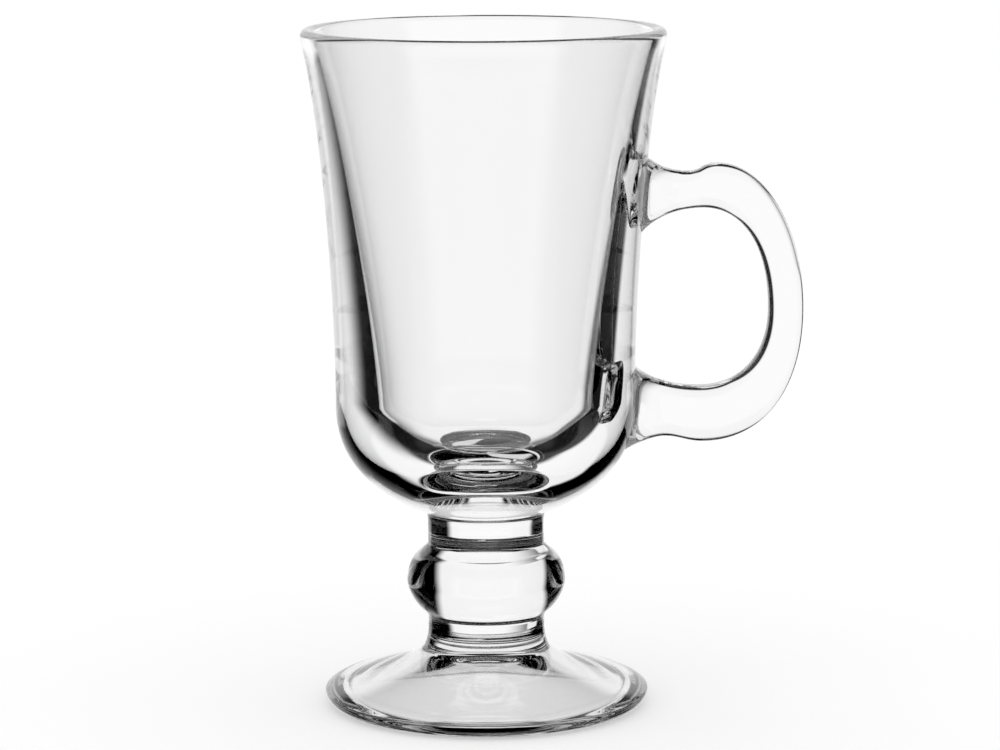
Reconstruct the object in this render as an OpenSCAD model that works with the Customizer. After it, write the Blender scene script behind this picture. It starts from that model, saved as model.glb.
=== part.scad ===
// Footed glass mug for irish coffee: a thick flared bowl on a short stem with
// one round knop, a broad foot, and a flat-sided handle on one side.
// All sizes are in millimetres. The mug stands on z = 0, its axis is the Z axis
// and its handle points along +X. The pieces are stacked seam on seam, as a
// glassmaker joins them: foot, lower stem, knop, upper stem and bowl, and then
// the handle on the wall of the bowl.

/* [Bowl] */
// Outer diameter across the rounded rim
rim_d = 76.8; // [70:0.2:90]
// Thickness of the rounded rim
rim_t = 2.9; // [2.3:0.1:3.6]
// Outer diameter at the belly, low on the bowl
belly_d = 63.5; // [58:0.5:68]
// Height of the bowl, from its seam with the stem up to the rim
bowl_h = 104.8; // [98:0.2:130]
// Height of the belly above the bowl's seam
belly_h = 24.6; // [20:0.2:30]
// Thickness of the wall just under the rim
wall_top_t = 2.9; // [2.2:0.1:3.6]
// Thickness of the wall at the height where the floor's round corner starts
wall_low_t = 8.8; // [6:0.1:11]
// Height of the inside floor's centre above the bowl's seam
floor_h = 13.5; // [11:0.1:17]
// Height of the round corner between the inside wall and the floor
corner_h = 12.4; // [8:0.1:18]

/* [Stem] */
// Diameter of the plain stem above and below the knop
stem_d = 24.8; // [20:0.2:28]
// Height of the stem between the knop and the bowl
upper_stem_h = 4.9; // [3:0.1:12]
// Height of the stem between the foot and the knop
lower_stem_h = 5.9; // [4:0.1:12]
// Diameter of the knop
knop_d = 33.8; // [30:0.2:38]
// Height of the knop
knop_h = 16; // [13:0.2:20]

/* [Foot] */
// Diameter of the foot
foot_d = 69.2; // [62:0.2:84]
// Height of the foot, from the table up to its seam with the stem
foot_h = 13; // [12:0.1:18]
// Thickness of the foot's disc at its shoulder
foot_disc_t = 5.4; // [4.6:0.1:7]
// Depth of the domed hollow under the foot
foot_hollow = 10; // [8.4:0.1:10.8]

/* [Handle] */
// How far the handle reaches out past the belly
handle_out = 35.6; // [30:0.2:44]
// Height of the handle's crown above the bowl's seam
handle_crown_h = 76.2; // [70:0.2:82]
// Height of the handle's lowest point above the bowl's seam
handle_base_h = 16.9; // [14:0.1:20]
// Height of the upper arm of the handle, seen from the side
upper_arm_w = 9.4; // [7:0.1:12]
// Width of the handle where it reaches furthest out, seen from the side
grip_w = 7.4; // [6:0.1:10]
// Height of the lower arm of the handle, seen from the side
lower_arm_w = 11.8; // [9:0.1:14]
// Thickness of the handle, seen from the end
handle_t = 9; // [7:0.1:11]
// Thickness of the handle's roots, where they meet the wall
root_t = 15; // [12:0.5:18]

/* [Hidden] */
glass = [0.90, 0.93, 0.94, 0.5];
$fn = 120;

// Steps in each curve of an outline
curve_steps = 14;
// How far both ends of a curve are pulled to its corner, for a round, full and fullest curve
round_share = 0.55;
full_share = 0.61;
fullest_share = 0.66;

// Heights of the seams above the table
lower_stem_z = foot_h;
knop_z = lower_stem_z + lower_stem_h;
upper_stem_z = knop_z + knop_h;
bowl_z = upper_stem_z + upper_stem_h;
rim_z = bowl_z + bowl_h;

rim_r = rim_d / 2;
belly_r = belly_d / 2;
stem_r = stem_d / 2;
knop_r = knop_d / 2;
foot_r = foot_d / 2;
belly_z = bowl_z + belly_h;
floor_z = bowl_z + floor_h;

// A place given as shares of the way from one corner of a region to the opposite one
function mix(a, b, share) = a + (b - a) * share;
function spot(shares, from, to) = [mix(from[0], to[0], shares[0]), mix(from[1], to[1], shares[1])];

// A curve from a to b that leaves a towards the corner q and reaches b from it
function curve_at(a, c, d, b, t) =
    a * pow(1 - t, 3) + c * 3 * t * pow(1 - t, 2) + d * 3 * t * t * (1 - t) + b * pow(t, 3);
function along(a, c, d, b, steps) = [for (i = [1 : steps]) curve_at(a, c, d, b, i / steps)];
function bend(a, q, b, pull = round_share, steps = curve_steps) =
    along(a, mix(a, q, pull), mix(b, q, pull), b, steps);

// Outside of the bowl, from the seam over the belly and the wall to the rim
neck = [stem_r, bowl_z];
belly = [belly_r, belly_z];
neck_corner_shares = [0, 0.08];
neck_top_shares = [0.04, 0.092];
belly_corner_shares = [1, 0.38];
wall_corner_shares = [0, 0.64];
neck_corner = spot(neck_corner_shares, neck, belly);
neck_top = spot(neck_top_shares, neck, belly);
belly_corner = spot(belly_corner_shares, neck, belly);

// The rim is a half round bead on top of the wall, which runs into it without a
// step on either side. The bead's shares are of its radius
bead_r = rim_t / 2;
bead_under_shares = [0.24, 2.35];
bead_corner_share = 1.31;
bead_under = [rim_r - bead_r * bead_under_shares[0], rim_z - bead_r * bead_under_shares[1]];
bead_side = [rim_r, rim_z - bead_r];
bead_crown = [rim_r - bead_r, rim_z];
bead_inside = [rim_r - rim_t, rim_z - bead_r];
wall_corner = spot(wall_corner_shares, belly, bead_under);
function outside() = concat(
    [neck],
    bend(neck, neck_corner, neck_top),
    bend(neck_top, belly_corner, belly, fullest_share),
    bend(belly, wall_corner, bead_under),
    bend(bead_under, [rim_r, rim_z - bead_r * bead_corner_share], bead_side),
    bend(bead_side, [rim_r, rim_z], bead_crown));

// Inside of the bowl, from the rim down the wall and round to the floor
inner_top = [bead_under[0] - wall_top_t, bead_under[1]];
inner_low = [belly_r - wall_low_t, floor_z + corner_h];
inner_corner_shares = [0.22, 0.46];
inner_corner = spot(inner_corner_shares, inner_low, inner_top);
floor_flat_share = 0.36;
floor_corner_shares = [0.91, 0.08];
floor_edge = [inner_low[0] * floor_flat_share, floor_z];
floor_corner = [inner_low[0] * floor_corner_shares[0], floor_z + corner_h * floor_corner_shares[1]];
function inside() = concat(
    bend(bead_crown, [bead_inside[0], rim_z], bead_inside),
    bend(bead_inside, [bead_inside[0], rim_z - bead_r * bead_corner_share], inner_top),
    bend(inner_top, inner_corner, inner_low),
    bend(inner_low, floor_corner, floor_edge, full_share),
    [[0, floor_z]]);

module bowl() {
    color(glass)
    rotate_extrude()
    polygon(concat(outside(), inside(), [[0, bowl_z]]));
}

module upper_stem() {
    color(glass)
    translate([0, 0, upper_stem_z])
    cylinder(r = stem_r, h = upper_stem_h);
}

// The knop swells from the stem over a small hollow fillet at each end. Its
// shares run from the stem's surface to the knop's, and up the knop
knop_foot = [stem_r, knop_z];
knop_head = [knop_r, upper_stem_z];
knop_low_shares = [0.27, 0.112];
knop_low_corner_shares = [0, 0.05];
knop_under_corner_shares = [1, 0.281];
knop_mid_shares = [1, 0.5];
knop_over_corner_shares = [1, 0.756];
knop_high_shares = [0.40, 0.881];
knop_high_corner_shares = [0, 0.956];
function on_knop(shares) = spot(shares, knop_foot, knop_head);
module knop() {
    color(glass)
    rotate_extrude()
    polygon(concat(
        [[0, knop_z], knop_foot],
        bend(knop_foot, on_knop(knop_low_corner_shares), on_knop(knop_low_shares)),
        bend(on_knop(knop_low_shares), on_knop(knop_under_corner_shares), on_knop(knop_mid_shares)),
        bend(on_knop(knop_mid_shares), on_knop(knop_over_corner_shares),
             on_knop(knop_high_shares), full_share),
        bend(on_knop(knop_high_shares), on_knop(knop_high_corner_shares), [stem_r, upper_stem_z]),
        [[0, upper_stem_z]]));
}

// The lower stem spreads a little where it meets the foot
flare_share = 0.032;
flare_r = mix(stem_r, foot_r, flare_share);
flare_corner_share = 0.24;
flare_top_share = 0.66;
flare_top_z = mix(lower_stem_z, knop_z, flare_top_share);
flare_corner_z = mix(lower_stem_z, knop_z, flare_corner_share);
module lower_stem() {
    color(glass)
    rotate_extrude()
    polygon(concat(
        [[0, lower_stem_z], [flare_r, lower_stem_z]],
        bend([flare_r, lower_stem_z], [stem_r, flare_corner_z], [stem_r, flare_top_z]),
        [[stem_r, knop_z], [0, knop_z]]));
}

// The foot is a cone that runs out in a round edge. It rests on a flat ring round
// a hollow, whose slope follows the cone's up to a small dome. The hollow's shares
// are of the foot's radius and of the hollow's depth
rest_share = 0.885;
rest_inner_share = 0.86;
rest_corner_share = 0.845;
hollow_low_shares = [0.82, 0.046];
hollow_corner_shares = [0.39, 0.48];
hollow_high_shares = [0.245, 0.76];
dome_corner_share = 0.16;
shoulder_share = 0.861;
edge_share = 0.57;
edge_corner_share = 0.796;
cone_corner_shares = [0.98, 0.553];
shoulder = [foot_r * shoulder_share, foot_disc_t];
foot_edge = [foot_r, foot_disc_t * edge_share];
foot_rest = [foot_r * rest_share, 0];
foot_top = [flare_r, foot_h];
function in_hollow(shares) = [foot_r * shares[0], foot_hollow * shares[1]];
module foot() {
    color(glass)
    rotate_extrude()
    polygon(concat(
        [[0, foot_hollow]],
        bend([0, foot_hollow], in_hollow([dome_corner_share, 1]), in_hollow(hollow_high_shares)),
        bend(in_hollow(hollow_high_shares), in_hollow(hollow_corner_shares), in_hollow(hollow_low_shares)),
        bend(in_hollow(hollow_low_shares), in_hollow([rest_corner_share, 0]), in_hollow([rest_inner_share, 0])),
        [foot_rest],
        bend(foot_rest, [foot_r, 0], foot_edge),
        bend(foot_edge, [foot_r, foot_disc_t * edge_corner_share], shoulder),
        bend(shoulder, spot(cone_corner_shares, shoulder, foot_top), foot_top, fullest_share),
        [[0, foot_h]]));
}

// Side view of the handle: an outer and an inner outline of four stretches each,
// from the upper root over the crown, the grip and the base to the lower root.
// A place is a share of the way out past the belly, and a share of an arm's
// width above or below the crown or the base.
crown_z = bowl_z + handle_crown_h;
base_z = bowl_z + handle_base_h;
grip_share = 0.477;
grip_z = mix(base_z, crown_z, grip_share);
handle_r = belly_r + handle_out;
function by_crown(shares) = [belly_r + handle_out * shares[0], crown_z + upper_arm_w * shares[1]];
function by_base(shares) = [belly_r + handle_out * shares[0], base_z + lower_arm_w * shares[1]];

upper_root = by_crown([0.01, 0.46]);
dip_corner = by_crown([0.09, -0.19]);
dip = by_crown([0.316, -0.19]);
dip_end = by_crown([0.384, -0.19]);
crown_start = by_crown([0.409, 0]);
crown = by_crown([0.485, 0]);
grip = [handle_r, grip_z];
base = by_base([0.40, 0]);
base_end = by_base([0.31, 0]);
toe_start = by_base([0.265, 0.10]);
toe = by_base([0.175, 0.10]);
toe_corner = by_base([0.05, 0.10]);
lower_root = by_base([-0.10, -0.22]);

inner_upper_root = by_crown([-0.04, -2.15]);
inner_crown_corner = by_crown([0.02, -1]);
inner_crown = by_crown([0.40, -1]);
inner_grip = [handle_r - grip_w, grip_z];
inner_base = by_base([0.385, 1]);
inner_base_corner = by_base([0, 1]);
inner_lower_root = by_base([-0.06, 1.66]);

stretch_steps = 14;
half_steps = stretch_steps / 2;
outer_line = concat(
    [upper_root],
    bend(upper_root, dip_corner, dip, full_share, half_steps),
    along(dip, dip_end, crown_start, crown, half_steps),
    bend(crown, [grip[0], crown[1]], grip, round_share, stretch_steps),
    bend(grip, [grip[0], base[1]], base, full_share, stretch_steps),
    along(base, base_end, toe_start, toe, half_steps),
    bend(toe, toe_corner, lower_root, round_share, half_steps));
inner_line = concat(
    [inner_upper_root],
    bend(inner_upper_root, inner_crown_corner, inner_crown, full_share, stretch_steps),
    bend(inner_crown, [inner_grip[0], inner_crown[1]], inner_grip, full_share, stretch_steps),
    bend(inner_grip, [inner_grip[0], inner_base[1]], inner_base, full_share, stretch_steps),
    bend(inner_base, inner_base_corner, inner_lower_root, full_share, stretch_steps));
ring_count = len(outer_line);

// Each ring is a square with well rounded corners, stretched to the band's size
// and set across it
ring_sides = 20;
corner_power = 0.6;
function rounded(v) = sign(v) * pow(abs(v), corner_power);
// The roots widen over the first and last part of the band
root_share = 0.17;
function root_grow(share) = pow(max(0, 1 - min(share, 1 - share) / root_share), 2);
function band_t(share) = mix(handle_t, root_t, root_grow(share));
function ring(i) =
    let (outer = outer_line[i], inner = inner_line[i], mid = (outer + inner) / 2,
         half = (outer - inner) / 2, half_t = band_t(i / (ring_count - 1)) / 2)
    [for (k = [0 : ring_sides - 1])
        let (angle = 360 * k / ring_sides, p = mid + half * rounded(cos(angle)))
        [p[0], half_t * rounded(sin(angle)), p[1]]];
function side_faces(i) = [for (k = [0 : ring_sides - 1])
    let (n = (k + 1) % ring_sides, a = i * ring_sides, b = a + ring_sides)
    each [[a + k, b + k, b + n], [a + k, b + n, a + n]]];
module handle_band() {
    last = (ring_count - 1) * ring_sides;
    polyhedron(
        points = [for (i = [0 : ring_count - 1]) each ring(i)],
        faces = concat(
            [[for (k = [0 : ring_sides - 1]) k]],
            [for (i = [0 : ring_count - 2]) each side_faces(i)],
            [[for (k = [ring_sides - 1 : -1 : 0]) last + k]]),
        convexity = 6);
}

// The outside of the bowl as a solid, which trims the handle's roots to the wall
module bowl_blank() {
    rotate_extrude()
    polygon(concat(outside(), [[0, rim_z], [0, bowl_z]]));
}

module handle() {
    color(glass)
    difference() {
        handle_band();
        bowl_blank();
    }
}

bowl();
upper_stem();
knop();
lower_stem();
foot();
handle();
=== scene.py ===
"""Irish coffee glass mug: clear pressed glass with a thick flared bowl, a stem with a round knop, a broad
foot and a flat-sided handle, on a white table in a white room. Lengths are in metres."""

import math

import bmesh
import bpy
from mathutils import Matrix, Vector


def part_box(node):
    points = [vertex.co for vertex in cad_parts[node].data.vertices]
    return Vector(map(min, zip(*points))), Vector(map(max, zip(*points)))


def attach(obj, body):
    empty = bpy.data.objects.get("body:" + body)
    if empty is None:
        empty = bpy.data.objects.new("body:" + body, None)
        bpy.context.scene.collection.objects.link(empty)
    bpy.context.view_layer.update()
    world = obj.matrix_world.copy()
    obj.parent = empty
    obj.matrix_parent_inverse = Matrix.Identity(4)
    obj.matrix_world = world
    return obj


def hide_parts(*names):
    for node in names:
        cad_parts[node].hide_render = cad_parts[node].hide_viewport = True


bl_info = {
    "name": "Irish Coffee Glass Mug",
    "version": (1, 0, 0),
    "blender": (4, 5, 0),
    "location": "View3D > Sidebar > Mug",
    "description": "Builds a footed glass mug piece by piece, with its table, room and camera",
    "category": "Object",
}

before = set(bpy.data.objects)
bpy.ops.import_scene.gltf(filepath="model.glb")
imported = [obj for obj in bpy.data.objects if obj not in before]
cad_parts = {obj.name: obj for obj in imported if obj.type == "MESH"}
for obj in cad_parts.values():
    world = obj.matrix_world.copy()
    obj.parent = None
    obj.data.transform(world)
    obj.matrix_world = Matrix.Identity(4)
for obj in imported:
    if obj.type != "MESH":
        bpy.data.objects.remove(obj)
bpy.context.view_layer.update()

# Steps of a full turn round the axis
AROUND = 240
# Steps in each curve of an outline, and the longest curve, past which it is halved
CURVE_STEPS = 15
LONGEST = 0.02
# How far both ends of a curve are pulled to its corner, for a round, full and fullest curve
ROUND, FULL, FULLEST = 0.55, 0.61, 0.66
# Two vertices closer than this are one
SAME_PLACE = 1e-6
# Faces that meet at less than this angle are shaded as one surface
SMOOTH_ANGLE = math.radians(38)
# Outer radius at the belly, past which the handle reaches
BELLY_RADIUS = 0.03175
# The rim bead, in shares of its radius: how far in and down it starts, and how far down its corners lie
BEAD_UNDER = (0.24, 2.35)
BEAD_CORNER = 1.31
# How far up from the base to the crown the handle reaches furthest out
GRIP_SHARE = 0.477
# Steps in a whole and in a half stretch of the handle, and vertices around it
STEPS_EACH, HALF_STEPS = 28, 14
RING_SIDES = 48
# Rounds the corners of the handle's section: at 1 it's a circle, towards 0 a square
CORNER_POWER = 0.6
# Share of the handle's length over which each root widens
ROOT_SHARE = 0.17


def widest(node, start=0):
    """How far a CAD node reaches along X past a place, to a tenth of a millimetre."""
    return round(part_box(node)[1].x - start, 4)


def lowest(node):
    """Height of a CAD node's lowest point, to a tenth of a millimetre."""
    return round(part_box(node)[0].z, 4)


def highest(node):
    """Height of a CAD node's highest point, to a tenth of a millimetre."""
    return round(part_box(node)[1].z, 4)


def length(name, description, default):
    """A length that a user may change."""
    return bpy.props.FloatProperty(
        name=name, description=description, default=default, unit="LENGTH", precision=4
    )


def tint(name, description, default):
    """A colour that a user may change, as sRGB hex."""
    return bpy.props.StringProperty(name=name, description=description, default=default)


class BowlSizes(bpy.types.PropertyGroup):
    """Sizes of the bowl."""

    rim_radius: length("Rim Radius", "Outer radius across the rim bead", widest("bowl"))
    rim_thickness: length("Rim Thickness", "Thickness of the rounded rim", 0.0029)
    rim_height: length("Rim Height", "Height of the rim above the table", highest("bowl"))
    belly_radius: length("Belly Radius", "Outer radius at the belly", BELLY_RADIUS)
    belly_height: length("Belly Height", "Height of the belly above the table", 0.0644)
    seam_height: length("Seam Height", "Height at which the bowl meets the stem", lowest("bowl"))
    wall_top: length("Wall at the Top", "Thickness of the wall under the rim", 0.0029)
    wall_low: length("Wall at the Bottom", "Thickness of the wall above the floor", 0.0088)
    floor_height: length("Floor Height", "Height of the inside floor above the table", 0.0533)
    corner_height: length("Corner Height", "Height of the round corner inside the floor", 0.0124)


class StemSizes(bpy.types.PropertyGroup):
    """Sizes of the stem and its knop."""

    radius: length("Radius", "Radius of the plain stem", widest("upper_stem"))
    flare_radius: length("Flare Radius", "Radius where the stem meets the foot", widest("lower_stem"))
    low_seam: length("Lower Seam", "Height at which the stem meets the foot", lowest("lower_stem"))
    knop_low: length("Knop Low", "Height at which the knop starts", lowest("knop"))
    knop_high: length("Knop High", "Height at which the knop ends", highest("knop"))
    knop_radius: length("Knop Radius", "Largest radius of the knop", widest("knop"))


class FootSizes(bpy.types.PropertyGroup):
    """Sizes of the foot."""

    radius: length("Radius", "Radius of the foot", widest("foot"))
    disc: length("Disc Thickness", "Thickness of the foot at its shoulder", 0.0054)
    hollow: length("Hollow", "Depth of the hollow under the foot", 0.01)


class HandleSizes(bpy.types.PropertyGroup):
    """Sizes of the handle."""

    reach: length("Reach", "How far the handle reaches past the belly", widest("handle", BELLY_RADIUS))
    crown_height: length("Crown Height", "Height of the crown above the table", 0.116)
    base_height: length("Base Height", "Height of the lowest point above the table", 0.0567)
    upper_arm: length("Upper Arm", "Height of the upper arm", 0.0094)
    grip: length("Grip", "Width of the handle where it reaches furthest out", 0.0074)
    lower_arm: length("Lower Arm", "Height of the lower arm", 0.0118)
    thickness: length("Thickness", "Thickness seen from the end", 0.009)
    root_thickness: length("Root Thickness", "Thickness where the roots meet the wall", 0.015)


class GlassLook(bpy.types.PropertyGroup):
    """Look of the glass."""

    colour: tint("Colour", "Colour of the glass as sRGB hex", "FFFFFF")
    # Painted shade: the foot's glass is greyed to stand for the table in the mug's shadow seen through the
    # foot, not for a colour of the glass
    foot_painted_shade: tint("Foot Painted Shade", "Colour of the foot's glass as sRGB hex", "EAEAEA")
    refraction: bpy.props.FloatProperty(
        name="Refraction", description="Index of refraction", default=1.52
    )


class StudioLook(bpy.types.PropertyGroup):
    """Look of the table."""

    table: tint("Table", "Colour of the table as sRGB hex", "C8C8C8")


def linear(hex_colour):
    """sRGB hex to the linear colour that Blender's shaders take."""
    parts = [int(hex_colour[i : i + 2], 16) / 255 for i in (0, 2, 4)]
    return [*(p / 12.92 if p <= 0.04045 else ((p + 0.055) / 1.055) ** 2.4 for p in parts), 1]


def add_node(tree, kind, settings=None, links=None, **options):
    """Adds a shader node. A link comes from a socket, or from the first output of a node."""
    node = tree.nodes.new(kind)
    for name, value in options.items():
        setattr(node, name, value)
    for name, value in (settings or {}).items():
        node.inputs[name].default_value = value
    for name, source in (links or {}).items():
        socket = source.outputs[0] if isinstance(source, bpy.types.Node) else source
        tree.links.new(socket, node.inputs[name])
    return node


def new_material(name):
    """A material without nodes, and its node tree."""
    material = bpy.data.materials.new(name)
    material.use_nodes = True
    material.node_tree.nodes.clear()
    return material, material.node_tree


def pressed_glass(node, look, colour):
    """Soda-lime glass, pressed and fire-polished: smooth, and bright or black by what it bends into view. The
    foot's grey is painted shade, for the shaded table seen through it.
    """
    material, tree = new_material(node + "_pressed_glass")
    settings = {
        "Base Color": linear(colour),
        "Roughness": 0,
        "IOR": look.refraction,
        "Transmission Weight": 1,
    }
    glass = add_node(tree, "ShaderNodeBsdfPrincipled", settings)
    add_node(tree, "ShaderNodeOutputMaterial", links={"Surface": glass})
    return material


def fused_seam():
    """The inside of the glass, where two gathers are fused: nothing is seen of it."""
    if "fused_seam" in bpy.data.materials:
        return bpy.data.materials["fused_seam"]
    material, tree = new_material("fused_seam")
    clear = add_node(tree, "ShaderNodeBsdfTransparent")
    add_node(tree, "ShaderNodeOutputMaterial", links={"Surface": clear})
    return material


def matt_white_paint(look):
    """Matt white paint on a lit table: as white as the room, and grey only in the mug's shadow."""
    material, tree = new_material("matt_white_table")
    paint = add_node(tree, "ShaderNodeBsdfDiffuse", {"Color": linear(look.table)})
    glow = add_node(tree, "ShaderNodeEmission", {"Strength": TABLE_GLOW})
    both = add_node(tree, "ShaderNodeAddShader", links={0: paint, 1: glow})
    add_node(tree, "ShaderNodeOutputMaterial", links={"Surface": both})
    return material


def mix(a, b, t):
    """The place a share t of the way from a to b."""
    return a + (b - a) * t


def spot(shares, start, end):
    """A place given as shares of the way from one corner of a region to the opposite one."""
    return (mix(start[0], end[0], shares[0]), mix(start[1], end[1], shares[1]))


def halves(a, c, d, b):
    """The two halves of a curve."""
    ac, cd, db = (a + c) / 2, (c + d) / 2, (d + b) / 2
    left, right = (ac + cd) / 2, (cd + db) / 2
    middle = (left + right) / 2
    return (a, ac, left, middle), (middle, right, db, b)


class Outline:
    """An outline of curves in the XZ plane, each by its start, its two handles and its end."""

    def __init__(self, start):
        """An outline starts at a place."""
        self.stretches = []
        self.end = Vector(start)

    def bend(self, corner, end, pull=ROUND):
        """A curve that leaves one place towards a corner and reaches the next from it."""
        corner, end = Vector(corner), Vector(end)
        self.stretches.append((self.end, self.end.lerp(corner, pull), end.lerp(corner, pull), end))
        self.end = end

    def along(self, first, second, end):
        """A curve by its two handles."""
        end = Vector(end)
        self.stretches.append((self.end, Vector(first), Vector(second), end))
        self.end = end

    def line(self, end):
        """A straight stretch."""
        end = Vector(end)
        self.along(self.end.lerp(end, 1 / 3), self.end.lerp(end, 2 / 3), end)

    def places(self, counts):
        """The places of the outline, with that many steps in each stretch."""
        places = [self.stretches[0][0].copy()]
        for (a, c, d, b), steps in zip(self.stretches, counts):
            for i in range(1, steps + 1):
                t = i / steps
                place = a * (1 - t) ** 3 + c * 3 * t * (1 - t) ** 2 + d * 3 * t * t * (1 - t) + b * t**3
                places.append(place)
        return places

    def refine(self):
        """Halves each stretch until none is longer than LONGEST, so that long curves get more steps."""
        stretches = []
        for a, c, d, b in self.stretches:
            parts = [(a, c, d, b)]
            while (parts[0][3] - parts[0][0]).length > LONGEST:
                parts = [half for part in parts for half in halves(*part)]
            stretches += parts
        self.stretches = stretches

    def draw(self, name):
        """The outline as a Bezier curve made a mesh, which is left active and selected."""
        self.refine()
        bpy.ops.object.select_all(action="DESELECT")
        bpy.ops.curve.primitive_bezier_curve_add()
        curve = bpy.context.object
        curve.name = name
        spline = curve.data.splines[0]
        spline.bezier_points.add(len(self.stretches) - 1)
        curve.data.resolution_u = CURVE_STEPS
        for i, point in enumerate(spline.bezier_points):
            before = self.stretches[max(i - 1, 0)]
            after = self.stretches[min(i, len(self.stretches) - 1)]
            place = after[0] if i < len(self.stretches) else before[3]
            point.handle_left_type = point.handle_right_type = "FREE"
            point.co = (place[0], 0, place[1])
            point.handle_left = (before[2][0], 0, before[2][1]) if i else point.co
            last = i == len(self.stretches)
            point.handle_right = point.co if last else (after[1][0], 0, after[1][1])
        bpy.ops.object.convert(target="MESH")
        piece = bpy.context.object
        piece.data.name = name
        return piece


def turn(piece):
    """Spins an outline round the axis and closes its open ends with flat faces."""
    bpy.ops.object.mode_set(mode="EDIT")
    bpy.ops.mesh.select_all(action="SELECT")
    bpy.ops.mesh.spin(steps=AROUND, angle=math.tau, center=(0, 0, 0), axis=(0, 0, 1))
    bpy.ops.mesh.select_all(action="SELECT")
    bpy.ops.mesh.remove_doubles(threshold=SAME_PLACE)
    bpy.ops.mesh.select_all(action="DESELECT")
    mesh = bmesh.from_edit_mesh(piece.data)
    for edge in mesh.edges:
        edge.select = edge.is_boundary
    bmesh.update_edit_mesh(piece.data)
    bpy.ops.mesh.edge_face_add()
    bpy.ops.mesh.select_all(action="SELECT")
    bpy.ops.mesh.normals_make_consistent(inside=False)
    bpy.ops.object.mode_set(mode="OBJECT")


def choose(*pieces):
    """Selects only these pieces and makes the first of them active."""
    bpy.ops.object.select_all(action="DESELECT")
    for piece in pieces:
        piece.select_set(True)
    bpy.context.view_layer.objects.active = pieces[0]


def smooth(piece):
    """Shades a piece as one surface, apart from its sharp edges."""
    choose(piece)
    bpy.ops.object.shade_smooth_by_angle(angle=SMOOTH_ANGLE)


def settle(piece, node):
    """Smooths a piece and puts it on the frame in place of its CAD node."""
    smooth(piece)
    piece.name = node + "_glass"
    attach(piece, "root")
    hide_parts(node)


def finish_glass(piece, node, look, colour, seams):
    """Gives a turned piece its glass, and the fused seam at the heights where it meets the next gather."""
    data = piece.data
    data.materials.clear()
    data.materials.append(pressed_glass(node, look, colour))
    data.materials.append(fused_seam())
    for face in data.polygons:
        heights = [data.vertices[v].co.z for v in face.vertices]
        face.material_index = int(
            any(all(abs(height - seam) < SAME_PLACE for height in heights) for seam in seams)
        )
    settle(piece, node)


def bowl_outside(s, stem_radius):
    """Outside of the bowl to the top of its rim bead, and the place where the bead starts."""
    bead = s.rim_thickness / 2
    neck, belly = (stem_radius, s.seam_height), (s.belly_radius, s.belly_height)
    bead_under = (s.rim_radius - BEAD_UNDER[0] * bead, s.rim_height - BEAD_UNDER[1] * bead)
    bead_side = (s.rim_radius, s.rim_height - bead)
    bead_crown = (s.rim_radius - bead, s.rim_height)
    neck_corner, neck_top = spot((0, 0.08), neck, belly), spot((0.04, 0.092), neck, belly)
    belly_corner, wall_corner = spot((1, 0.38), neck, belly), spot((0, 0.64), belly, bead_under)

    outline = Outline(neck)
    outline.bend(neck_corner, neck_top)
    outline.bend(belly_corner, belly, FULLEST)
    outline.bend(wall_corner, bead_under)
    outline.bend((s.rim_radius, s.rim_height - BEAD_CORNER * bead), bead_side)
    outline.bend((s.rim_radius, s.rim_height), bead_crown)
    return outline, bead_under


def add_bowl_inside(outline, s, bead_under):
    """Inside of the bowl, from the top of the rim bead down the wall and round to the floor's middle."""
    bead = s.rim_thickness / 2
    bead_inside = (s.rim_radius - s.rim_thickness, s.rim_height - bead)
    inner_top = (bead_under[0] - s.wall_top, bead_under[1])
    inner_low = (s.belly_radius - s.wall_low, s.floor_height + s.corner_height)
    wall_corner = spot((0.22, 0.46), inner_low, inner_top)
    floor_corner = (inner_low[0] * 0.91, s.floor_height + s.corner_height * 0.08)
    floor_edge = (inner_low[0] * 0.36, s.floor_height)

    outline.bend((bead_inside[0], s.rim_height), bead_inside)
    outline.bend((bead_inside[0], s.rim_height - BEAD_CORNER * bead), inner_top)
    outline.bend(wall_corner, inner_low)
    outline.bend(floor_corner, floor_edge, FULL)
    outline.line((0, s.floor_height))


class MUG_OT_bowl(bpy.types.Operator):
    """Turn the bowl with its rim bead and its heavy base"""

    bl_idname = "mug.bowl"
    bl_label = "Bowl"

    def execute(self, context):
        """Builds the bowl."""
        s, look = context.scene.bowl_sizes, context.scene.glass_look
        outline, bead_under = bowl_outside(s, context.scene.stem_sizes.radius)
        add_bowl_inside(outline, s, bead_under)
        piece = outline.draw("bowl")
        turn(piece)
        finish_glass(piece, "bowl", look, look.colour, (s.seam_height,))
        return {"FINISHED"}


def lower_stem_outline(s):
    """The lower stem, which spreads a little where it meets the foot."""
    outline = Outline((s.flare_radius, s.low_seam))
    flare_corner = (s.radius, mix(s.low_seam, s.knop_low, 0.24))
    flare_top = (s.radius, mix(s.low_seam, s.knop_low, 0.66))
    outline.bend(flare_corner, flare_top)
    outline.line((s.radius, s.knop_low))
    return outline


def knop_outline(s):
    """The knop, which swells from the stem over a small hollow fillet at each end."""

    def on_knop(*shares):
        """A share of the way out from the stem's surface to the knop's, and of the way up the knop."""
        return spot(shares, (s.radius, s.knop_low), (s.knop_radius, s.knop_high))

    outline = Outline((s.radius, s.knop_low))
    outline.bend(on_knop(0, 0.05), on_knop(0.27, 0.112))
    outline.bend(on_knop(1, 0.281), on_knop(1, 0.5))
    outline.bend(on_knop(1, 0.756), on_knop(0.40, 0.881), FULL)
    outline.bend(on_knop(0, 0.956), (s.radius, s.knop_high))
    return outline


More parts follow.
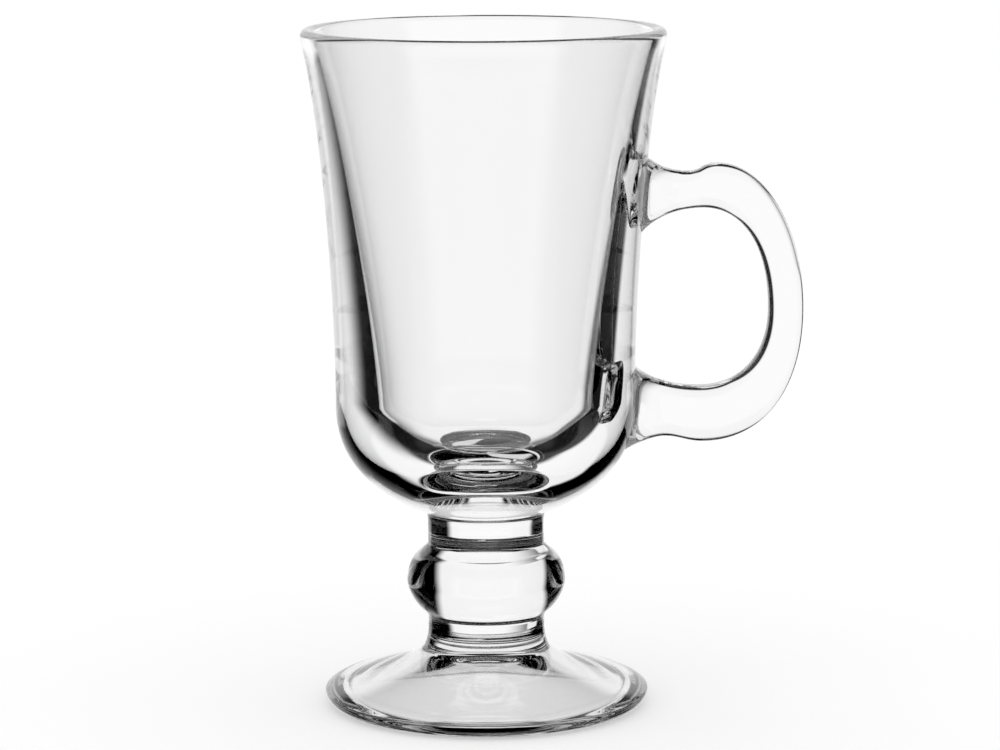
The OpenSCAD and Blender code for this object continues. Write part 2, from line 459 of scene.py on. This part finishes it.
class MUG_OT_stem(bpy.types.Operator):
    """Turn the two plain stems and the knop between them"""

    bl_idname = "mug.stem"
    bl_label = "Stem and Knop"

    def execute(self, context):
        """Builds the three pieces of the stem."""
        s, look = context.scene.stem_sizes, context.scene.glass_look
        bowl_seam = context.scene.bowl_sizes.seam_height
        upper_stem = Outline((s.radius, s.knop_high))
        upper_stem.line((s.radius, bowl_seam))
        gathers = (
            ("lower_stem", lower_stem_outline(s), (s.low_seam, s.knop_low)),
            ("knop", knop_outline(s), (s.knop_low, s.knop_high)),
            ("upper_stem", upper_stem, (s.knop_high, bowl_seam)),
        )
        for node, outline, seams in gathers:
            piece = outline.draw(node)
            turn(piece)
            finish_glass(piece, node, look, look.colour, seams)
        return {"FINISHED"}


def foot_outline(s, stem):
    """The foot, a cone that runs out in a round edge and rests on a narrow ring round its hollow."""

    def in_hollow(x, z):
        """A share of the radius, and of the hollow's depth."""
        return (s.radius * x, s.hollow * z)

    def at_edge(x, z):
        """A share of the radius, and of the disc's thickness."""
        return (s.radius * x, s.disc * z)

    shoulder, foot_top = at_edge(0.861, 1), (stem.flare_radius, stem.low_seam)
    outline = Outline(in_hollow(0, 1))
    outline.bend(in_hollow(0.16, 1), in_hollow(0.245, 0.76))
    outline.bend(in_hollow(0.39, 0.48), in_hollow(0.82, 0.046))
    outline.bend(in_hollow(0.845, 0), in_hollow(0.86, 0))
    outline.line(at_edge(0.885, 0))
    outline.bend(at_edge(1, 0), at_edge(1, 0.57))
    outline.bend(at_edge(1, 0.796), shoulder)
    outline.bend(spot((0.98, 0.553), shoulder, foot_top), foot_top, FULLEST)
    return outline


class MUG_OT_foot(bpy.types.Operator):
    """Turn the foot"""

    bl_idname = "mug.foot"
    bl_label = "Foot"

    def execute(self, context):
        """Builds the foot."""
        stem, look = context.scene.stem_sizes, context.scene.glass_look
        piece = foot_outline(context.scene.foot_sizes, stem).draw("foot")
        turn(piece)
        # The foot gets grey glass as painted shade, for the shaded table seen through it
        finish_glass(piece, "foot", look, look.foot_painted_shade, (stem.low_seam,))
        return {"FINISHED"}


def handle_outlines(s, bowl):
    """Outer and inner outline of the handle, from the upper root over crown, grip and base to the lower."""

    def by_crown(x, z):
        """A share of the reach, and of the upper arm above the crown."""
        return (bowl.belly_radius + s.reach * x, s.crown_height + s.upper_arm * z)

    def by_base(x, z):
        """A share of the reach, and of the lower arm above the base."""
        return (bowl.belly_radius + s.reach * x, s.base_height + s.lower_arm * z)

    grip = (bowl.belly_radius + s.reach, mix(s.base_height, s.crown_height, GRIP_SHARE))
    dip, crown = by_crown(0.316, -0.19), by_crown(0.485, 0)
    base, toe = by_base(0.40, 0), by_base(0.175, 0.10)
    outer = Outline(by_crown(0.01, 0.46))
    outer.bend(by_crown(0.09, -0.19), dip, FULL)
    outer.along(by_crown(0.384, -0.19), by_crown(0.409, 0), crown)
    outer.bend((grip[0], crown[1]), grip)
    outer.bend((grip[0], base[1]), base, FULL)
    outer.along(by_base(0.31, 0), by_base(0.265, 0.10), toe)
    outer.bend(by_base(0.05, 0.10), by_base(-0.10, -0.22))

    inner_grip = (grip[0] - s.grip, grip[1])
    inner_crown, inner_base = by_crown(0.40, -1), by_base(0.385, 1)
    inner = Outline(by_crown(-0.04, -2.15))
    inner.bend(by_crown(0.02, -1), inner_crown, FULL)
    inner.bend((inner_grip[0], inner_crown[1]), inner_grip, FULL)
    inner.bend((inner_grip[0], inner_base[1]), inner_base, FULL)
    inner.bend(by_base(0, 1), by_base(-0.06, 1.66), FULL)
    return outer, inner


def rounded(value):
    """A cosine or a sine, pushed out so that a circle turns into a square with well rounded corners."""
    return math.copysign(abs(value) ** CORNER_POWER, value)


def handle_band(s, outer, inner):
    """The handle as a mesh, a band that widens towards both roots. Its rings are placed one by one, because
    no curve's bevel follows two outlines."""
    mesh = bmesh.new()
    rings = []
    angles = [math.tau * k / RING_SIDES for k in range(RING_SIDES)]
    for i, (outside, inside) in enumerate(zip(outer, inner)):
        middle, half = (outside + inside) / 2, (outside - inside) / 2
        share = i / (len(outer) - 1)
        grow = max(0, 1 - min(share, 1 - share) / ROOT_SHARE) ** 2
        half_thickness = mix(s.thickness, s.root_thickness, grow) / 2
        ring = []
        for angle in angles:
            place = middle + half * rounded(math.cos(angle))
            ring.append(mesh.verts.new((place[0], half_thickness * rounded(math.sin(angle)), place[1])))
        rings.append(ring)
    for ring, following in zip(rings, rings[1:]):
        for k in range(RING_SIDES):
            n = (k + 1) % RING_SIDES
            mesh.faces.new((ring[k], ring[n], following[n], following[k]))
    mesh.faces.new(rings[0])
    mesh.faces.new(rings[-1])
    bmesh.ops.recalc_face_normals(mesh, faces=mesh.faces)
    band = bpy.data.meshes.new("handle")
    mesh.to_mesh(band)
    mesh.free()
    return band


class MUG_OT_handle(bpy.types.Operator):
    """Draw the handle and fuse it to the wall of the bowl"""

    bl_idname = "mug.handle"
    bl_label = "Handle"

    def execute(self, context):
        """Builds the handle and fuses it to the wall."""
        scene = context.scene
        outer, inner = handle_outlines(scene.handle_sizes, scene.bowl_sizes)
        outer = outer.places((HALF_STEPS, HALF_STEPS, STEPS_EACH, STEPS_EACH, HALF_STEPS, HALF_STEPS))
        inner = inner.places((STEPS_EACH,) * 4)
        piece = bpy.data.objects.new("handle", handle_band(scene.handle_sizes, outer, inner))
        scene.collection.objects.link(piece)
        fuse(piece, bpy.data.objects["bowl_glass"], scene.glass_look)
        return {"FINISHED"}


def copy_of(piece, name):
    """A copy with its own mesh."""
    copy = piece.copy()
    copy.data = piece.data.copy()
    copy.name = name
    bpy.context.scene.collection.objects.link(copy)
    return copy


def cut(piece, tool, operation):
    """Applies an exact boolean, which carries the tool's materials over."""
    choose(piece)
    modifier = piece.modifiers.new("cut", "BOOLEAN")
    modifier.operation = operation
    modifier.object = tool
    modifier.solver = "EXACT"
    modifier.material_mode = "TRANSFER"
    bpy.ops.object.modifier_apply(modifier=modifier.name)


def drop_faces(piece, unwanted):
    """Deletes the faces whose material slot is unwanted."""
    choose(piece)
    bpy.ops.object.mode_set(mode="EDIT")
    mesh = bmesh.from_edit_mesh(piece.data)
    for face in mesh.faces:
        face.select = unwanted(face.material_index)
    bmesh.update_edit_mesh(piece.data)
    bpy.ops.mesh.delete(type="FACE")
    bpy.ops.object.mode_set(mode="OBJECT")


def slot_of(piece, material):
    """The number of the slot that holds that material."""
    return piece.data.materials[:].index(material)


def fuse(handle, bowl, look):
    """Trims the handle's roots to the wall. Where they meet, both pieces have a fused seam."""
    seam = fused_seam()
    clear = pressed_glass("handle", look, look.colour)
    # The band and the wall each get a material of their own, by which their faces are known after the cuts
    passing = bpy.data.materials.new("passing")
    handle.data.materials.append(passing)
    band = copy_of(handle, "band")
    wall = copy_of(bowl, "wall")
    wall.data.materials.clear()
    wall.data.materials.append(seam)
    handle.data.materials[0] = clear
    cut(handle, wall, "DIFFERENCE")

    # The bowl keeps its own faces, loses those of the band, and gets the handle's contact face turned over
    cut(bowl, band, "UNION")
    passing_slot = slot_of(bowl, passing)
    drop_faces(bowl, lambda slot: slot == passing_slot)
    contact = copy_of(handle, "contact")
    seam_slot = slot_of(contact, seam)
    drop_faces(contact, lambda slot: slot != seam_slot)
    contact.data.flip_normals()
    choose(bowl, contact)
    bpy.ops.object.join()
    bpy.ops.object.mode_set(mode="EDIT")
    bpy.ops.mesh.select_all(action="SELECT")
    bpy.ops.mesh.remove_doubles(threshold=SAME_PLACE)
    bpy.ops.object.mode_set(mode="OBJECT")

    for spare in (band, wall):
        bpy.data.objects.remove(spare)
    for piece in (bowl, handle):
        choose(piece)
        bpy.ops.object.material_slot_remove_unused()
    bpy.data.materials.remove(passing)
    settle(handle, "handle")
    smooth(bowl)


# A patch of the room, in degrees: from and to by angle round the room, where 0 is behind the mug and it grows
# towards -X, then from and to by height angle, and how soft its edges are, together or one by one
BACKDROP = (-29, 40, -14, 26, (8, 8, 4, 8))
# The lit table under the backdrop
LIT_TABLE = (-29, 29, -46, -6, (8, 36, 8, 4))
# Bright places steeply below and above
BELOW = (-50, -10, -92, -62, 5)
SKY = (-40, 40, 62, 92, 10)
# Windows that show only in light that the glass hasn't thrown back
OPENINGS = (
    (36, 54, -36, -15, 5),
    (78, 104, -18, 12, 6),
    (-160, -110, -45, 6, 8),
)
# The room behind the camera, which shows only in light that the glass has thrown back once at most, and its
# brightness
FRONT = ((-190, -125, -30, 30, 12), (125, 190, -30, 30, 12))
FRONT_LEVEL = 0.6
# The table is dark in light that the glass has thrown back more than once: from and to which number of
# reflections it darkens, and the share of light that is left
DARK_TABLE = (-26, 26, -45, -24, 4)
DARK_FROM = (1, 2)
DARK_LEVEL = 0.15
# Light that is thrown to and fro many times sees an even grey room, because a patchy one breaks up the wall's
# outer edge: from and to which number of reflections it turns even, sooner in the lower room, and how bright
# it is
OFTEN = (10, 14)
OFTEN_LOW = (7, 10)
LOWER_ROOM = (-200, 200, -80, 5, 8)
ALL_ROUND = 0.55


def patch(tree, round_angle, height_angle, edges):
    """1 in a patch of directions with soft edges, and 0 outside it."""
    start, end, low, high, soft = edges
    softness = soft if isinstance(soft, tuple) else (soft,) * 4
    sides = (
        (round_angle, start, 1),
        (round_angle, end, -1),
        (height_angle, low, 1),
        (height_angle, high, -1),
    )
    inside = None
    for (angle, edge, sign), width in zip(sides, softness):
        ramp = {
            "From Min": math.radians(edge - sign * width / 2),
            "From Max": math.radians(edge + sign * width / 2),
        }
        side = add_node(
            tree, "ShaderNodeMapRange", ramp, {"Value": angle}, interpolation_type="SMOOTHSTEP"
        )
        if inside is None:
            inside = side
        else:
            inside = add_node(tree, "ShaderNodeMath", links={0: inside, 1: side}, operation="MULTIPLY")
    return inside


def largest(tree, nodes):
    """The largest of some values."""
    top = nodes[0]
    for node in nodes[1:]:
        top = add_node(tree, "ShaderNodeMath", links={0: top, 1: node}, operation="MAXIMUM")
    return top


def white_room():
    """A room that the camera and the table see all white. Glass sees it dark between its bright patches, and
    the dark draws its edges."""
    world = bpy.data.worlds.new("white_room")
    world.use_nodes = True
    tree = world.node_tree
    tree.nodes.clear()
    direction = add_node(tree, "ShaderNodeTexCoord")
    parts = add_node(tree, "ShaderNodeSeparateXYZ", links={0: direction.outputs["Generated"]})
    left = add_node(tree, "ShaderNodeMath", {1: -1}, {0: parts.outputs["X"]}, operation="MULTIPLY")
    round_angle = add_node(
        tree, "ShaderNodeMath", links={0: left, 1: parts.outputs["Y"]}, operation="ARCTAN2"
    )
    height_angle = add_node(tree, "ShaderNodeMath", links={0: parts.outputs["Z"]}, operation="ARCSINE")
    ray = add_node(tree, "ShaderNodeLightPath")

    def bounces(least, most):
        """0 up to a number of reflections, and 1 from another one on."""
        return add_node(
            tree,
            "ShaderNodeMapRange",
            {"From Min": least, "From Max": most},
            {"Value": ray.outputs["Glossy Depth"]},
            interpolation_type="SMOOTHSTEP",
        )

    def unless(value, switch):
        """A value where the switch is 0, and 0 where it is 1."""
        other = add_node(tree, "ShaderNodeMath", {0: 1}, {1: switch}, operation="SUBTRACT")
        return add_node(tree, "ShaderNodeMath", links={0: value, 1: other}, operation="MULTIPLY")

    def patches(group):
        """The largest of some patches."""
        return largest(tree, [patch(tree, round_angle, height_angle, edges) for edges in group])

    openings = unless(patches(OPENINGS), bounces(0, 1))
    front = unless(patches(FRONT), bounces(1, 2))
    front = add_node(tree, "ShaderNodeMath", {1: FRONT_LEVEL}, {0: front}, operation="MULTIPLY")
    bright = largest(tree, [openings, front, patches((BACKDROP, LIT_TABLE, BELOW, SKY))])
    shade = {0: patches((DARK_TABLE,)), 1: bounces(*DARK_FROM)}
    shaded = add_node(tree, "ShaderNodeMath", links=shade, operation="MULTIPLY")
    shaded = add_node(tree, "ShaderNodeMath", {1: 1 - DARK_LEVEL}, {0: shaded}, operation="MULTIPLY")
    bright = unless(bright, shaded)
    sooner = {0: patches((LOWER_ROOM,)), 1: bounces(*OFTEN_LOW)}
    often_low = add_node(tree, "ShaderNodeMath", links=sooner, operation="MULTIPLY")
    often = largest(tree, [bounces(*OFTEN), often_low])
    bright = add_node(tree, "ShaderNodeMix", {"B": ALL_ROUND}, {"Factor": often, "A": bright})

    by_glass = {0: ray.outputs["Is Glossy Ray"], 1: ray.outputs["Is Transmission Ray"]}
    through = add_node(tree, "ShaderNodeMath", links=by_glass, operation="MAXIMUM")
    white = add_node(tree, "ShaderNodeBackground", {"Color": (1, 1, 1, 1), "Strength": 1})
    seen = add_node(tree, "ShaderNodeBackground", {"Color": (1, 1, 1, 1)}, {"Strength": bright})
    both = add_node(tree, "ShaderNodeMixShader", links={0: through, 1: white, 2: seen})
    add_node(tree, "ShaderNodeOutputWorld", links={"Surface": both})
    return world


# The table's radius and the sides of its edge, far out of view
TABLE_RADIUS, TABLE_SIDES = 1.6, 96
# Light that the table gives out by itself, which makes it as white as the room
TABLE_GLOW = 0.45
# The camera: its lens and sensor in millimetres, the nearest that it sees, its place, and how far it looks
# down, pans and rolls, in degrees
LENS, SENSOR = 136.9, 36
NEAREST = 0.01
CAMERA_PLACE = (0, -0.796, 0.2034)
LOOKS_DOWN, PAN, ROLL = 9.45, -0.226, -0.25
# How often light may be bent or thrown back by the glass, and pass a fused seam
GLASS_BOUNCES, SEAM_PASSES = 64, 32


def add_table(look):
    """A round table that reaches past the camera's view. Glass sees the room's patches in its place."""
    bpy.ops.object.select_all(action="DESELECT")
    bpy.ops.mesh.primitive_circle_add(vertices=TABLE_SIDES, radius=TABLE_RADIUS, fill_type="NGON")
    table = bpy.context.object
    table.name = "table"
    table.data.materials.append(matt_white_paint(look))
    table.visible_transmission = False
    table.visible_glossy = False


def add_camera(scene):
    """A long lens from a little above, as in the photo."""
    camera = bpy.data.objects.new("camera", bpy.data.cameras.new("camera"))
    scene.collection.objects.link(camera)
    camera.data.lens = LENS
    camera.data.sensor_width = SENSOR
    camera.data.clip_start = NEAREST
    turned = Matrix.Rotation(math.radians(PAN), 4, "Z")
    turned = turned @ Matrix.Rotation(math.radians(90 - LOOKS_DOWN), 4, "X")
    turned = turned @ Matrix.Rotation(math.radians(ROLL), 4, "Z")
    camera.matrix_world = Matrix.Translation(CAMERA_PLACE) @ turned
    scene.camera = camera


class MUG_OT_stage(bpy.types.Operator):
    """Set up the table, the white room and the camera"""

    bl_idname = "mug.stage"
    bl_label = "Stage"

    def execute(self, context):
        """Builds the stage."""
        scene = context.scene
        add_table(scene.studio_look)
        scene.world = white_room()
        add_camera(scene)
        scene.view_settings.view_transform = "Standard"
        scene.cycles.max_bounces = GLASS_BOUNCES
        scene.cycles.transmission_bounces = GLASS_BOUNCES
        scene.cycles.glossy_bounces = GLASS_BOUNCES
        scene.cycles.transparent_max_bounces = SEAM_PASSES
        return {"FINISHED"}


class MUG_PT_panel(bpy.types.Panel):
    """Sidebar panel of the mug"""

    bl_idname = "MUG_PT_panel"
    bl_label = "Irish Coffee Mug"
    bl_space_type = "VIEW_3D"
    bl_region_type = "UI"
    bl_category = "Mug"

    def draw(self, context):
        """Lists the operators with their sizes and looks."""
        for operator, groups in STEPS:
            box = self.layout.box()
            box.operator(operator.bl_idname)
            for group in groups:
                values = getattr(context.scene, group)
                for name in values.bl_rna.properties.keys():
                    if name not in ("rna_type", "name"):
                        box.prop(values, name)


GROUPS = {
    "bowl_sizes": BowlSizes,
    "stem_sizes": StemSizes,
    "foot_sizes": FootSizes,
    "handle_sizes": HandleSizes,
    "glass_look": GlassLook,
    "studio_look": StudioLook,
}
STEPS = (
    (MUG_OT_bowl, ("bowl_sizes", "glass_look")),
    (MUG_OT_stem, ("stem_sizes",)),
    (MUG_OT_foot, ("foot_sizes",)),
    (MUG_OT_handle, ("handle_sizes",)),
    (MUG_OT_stage, ("studio_look",)),
)


def register():
    """Registers the classes and the scene's properties."""
    for group in GROUPS.values():
        bpy.utils.register_class(group)
    for name, group in GROUPS.items():
        setattr(bpy.types.Scene, name, bpy.props.PointerProperty(type=group))
    for operator, _ in STEPS:
        bpy.utils.register_class(operator)
    bpy.utils.register_class(MUG_PT_panel)


def unregister():
    """Removes what register added."""
    bpy.utils.unregister_class(MUG_PT_panel)
    for operator, _ in reversed(STEPS):
        bpy.utils.unregister_class(operator)
    for name in GROUPS:
        delattr(bpy.types.Scene, name)
    for group in reversed(list(GROUPS.values())):
        bpy.utils.unregister_class(group)


def main():
    """Builds the mug and its stage."""
    register()
    bpy.ops.mug.bowl()
    bpy.ops.mug.stem()
    bpy.ops.mug.foot()
    bpy.ops.mug.handle()
    bpy.ops.mug.stage()


if __name__ == "__main__":
    main()
